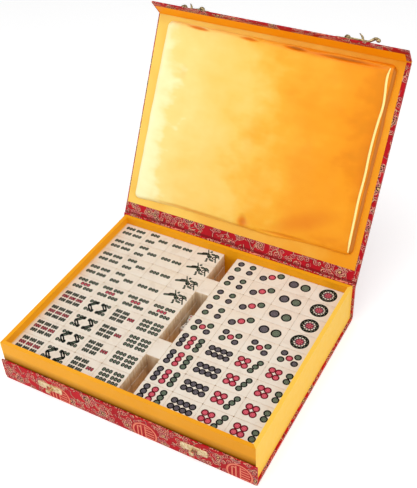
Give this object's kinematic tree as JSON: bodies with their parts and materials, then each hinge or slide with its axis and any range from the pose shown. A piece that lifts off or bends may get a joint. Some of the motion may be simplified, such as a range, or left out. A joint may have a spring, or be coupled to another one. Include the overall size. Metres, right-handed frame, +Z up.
{
  "type": "mahjong case",
  "caption": "Flat brocade-covered game case with a hinged lid, fold-over front flap, horn-hook latches and a tray of mahjong tiles in two layers.",
  "frame": {"origin": "On the underside of the base board, at the middle of the tray", "axes": "+X to the right of the case, +Y to the back where the lid is hinged, +Z up"},
  "size_m": [0.3542, 0.4347, 0.3423],
  "materials": {
    "brocade": "satin",
    "tray_paper": "satin",
    "floor_foam": "matte",
    "card": "matte",
    "satin": "satin",
    "brass": "satin",
    "tile_resin": "gloss"
  },
  "bodies": {
    "base": {"base_board": "brocade", "base_front_wall": "brocade", "spine_board": "brocade", "hinge_bead": "brocade", "tray_front_wall": "tray_paper", "tray_back_wall": "tray_paper", "tray_left_wall": "tray_paper", "tray_right_wall": "tray_paper", "tray_floor": "tray_paper", "floor_pad": "floor_foam", "packing_strip": "card", "catch_plate_left": "brass", "catch_plate_right": "brass", "catch_screws_left": "brass", "catch_screws_right": "brass"},
    "lid": {"lid_board": "brocade", "hinge_strip": "brocade", "lid_liner": "tray_paper", "satin_pad": "satin", "flap_fold": "brocade"},
    "flap": {"flap_board": "brocade", "flap_liner": "tray_paper", "latch_plate_left": "brass", "latch_plate_right": "brass", "latch_screws_left": "brass", "latch_screws_right": "brass", "pivot_rivet_left": "brass", "pivot_rivet_right": "brass"},
    "left_hook": {"horn_hook_left": "brass"},
    "right_hook": {"horn_hook_right": "brass"},
    "left_lower_block": {"character_tiles": "tile_resin"},
    "right_lower_block": {"wind_tiles": "tile_resin", "dragon_tiles": "tile_resin", "flower_tiles": "tile_resin"},
    "bamboo_block": {"bamboo_1": "tile_resin", "bamboo_2": "tile_resin", "bamboo_3": "tile_resin", "bamboo_4": "tile_resin", "bamboo_5": "tile_resin", "bamboo_6": "tile_resin", "bamboo_7": "tile_resin", "bamboo_8": "tile_resin", "bamboo_9": "tile_resin"},
    "dot_block": {"dots_1": "tile_resin", "dots_2": "tile_resin", "dots_3": "tile_resin", "dots_4": "tile_resin", "dots_5": "tile_resin", "dots_6": "tile_resin", "dots_7": "tile_resin", "dots_8": "tile_resin", "dots_9": "tile_resin"},
    "back_spare": {"spare_tile_back": "tile_resin"},
    "front_spare": {"spare_tile_front": "tile_resin"},
    "back_die": {"die_back": "tile_resin"},
    "front_die": {"die_front": "tile_resin"}
  },
  "joints": [
    {"name": "lid_hinge", "type": "hinge", "parent": "base", "child": "lid", "pos_m": [0, 0.1434, 0.0627], "axis": [1, 0, 0], "range_deg": [0, 118.3]},
    {"name": "flap_hinge", "type": "hinge", "parent": "lid", "child": "flap", "pos_m": [0, 0.28032, 0.31425], "axis": [1, 0, 0], "range_deg": [-60, 24]},
    {"name": "left_hook_pivot", "type": "hinge", "parent": "flap", "child": "left_hook", "pos_m": [-0.10397, 0.2665, 0.33213], "axis": [0, 0.7912, 0.6115], "range_deg": [-4, 109]},
    {"name": "right_hook_pivot", "type": "hinge", "parent": "flap", "child": "right_hook", "pos_m": [0.09798, 0.2665, 0.33213], "axis": [0, -0.7912, -0.6115], "range_deg": [-8, 92]},
    {"name": "left_lower_block_lift", "type": "slide", "parent": "base", "child": "left_lower_block", "axis": [0, 0, 1], "range_m": [0, 0.06]},
    {"name": "right_lower_block_lift", "type": "slide", "parent": "base", "child": "right_lower_block", "axis": [0, 0, 1], "range_m": [0, 0.06]},
    {"name": "bamboo_block_lift", "type": "slide", "parent": "left_lower_block", "child": "bamboo_block", "axis": [0, 0, 1], "range_m": [0, 0.06]},
    {"name": "dot_block_lift", "type": "slide", "parent": "right_lower_block", "child": "dot_block", "axis": [0, 0, 1], "range_m": [0, 0.06]},
    {"name": "back_spare_lift", "type": "slide", "parent": "base", "child": "back_spare", "axis": [0, 0, 1], "range_m": [0, 0.06]},
    {"name": "front_spare_lift", "type": "slide", "parent": "base", "child": "front_spare", "axis": [0, 0, 1], "range_m": [0, 0.06]},
    {"name": "back_die_lift", "type": "slide", "parent": "base", "child": "back_die", "axis": [0, 0, 1], "range_m": [0, 0.06]},
    {"name": "front_die_lift", "type": "slide", "parent": "base", "child": "front_die", "axis": [0, 0, 1], "range_m": [0, 0.06]}
  ]
}
